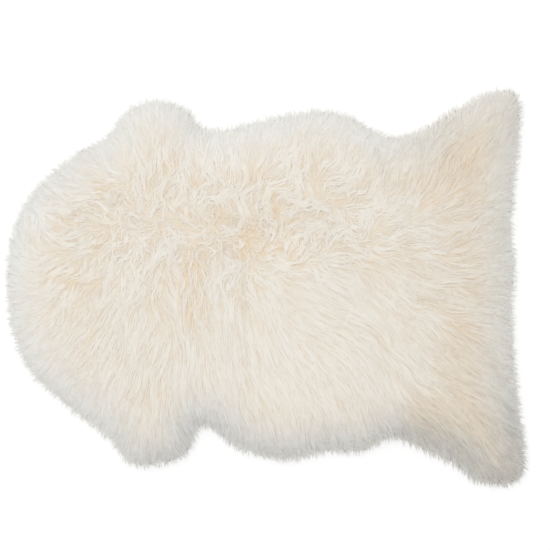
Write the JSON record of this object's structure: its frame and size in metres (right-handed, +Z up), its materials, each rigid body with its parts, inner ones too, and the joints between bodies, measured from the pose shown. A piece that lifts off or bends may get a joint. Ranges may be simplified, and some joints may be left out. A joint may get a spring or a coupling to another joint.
{
  "type": "sheepskin rug",
  "caption": "Whole sheepskin with its long cream wool on, laid flat as a rug, with a rounded neck, two fore-leg lobes and two pointed hind-leg corners.",
  "frame": {"origin": "on the floor, at the middle of the pelt's length and width with the wool", "axes": "+X along the spine from the neck to the tail, +Y across to one side, +Z up out of the wool"},
  "size_m": [0.9, 0.6893, 0.0537],
  "materials": {
    "wool": "long cream wool in soft wavy locks, matt with a light sheen",
    "hide": "tanned flesh side of the skin, pale matt suede"
  },
  "bodies": {
    "root": {"pelt": "wool"}
  },
  "joints": []
}
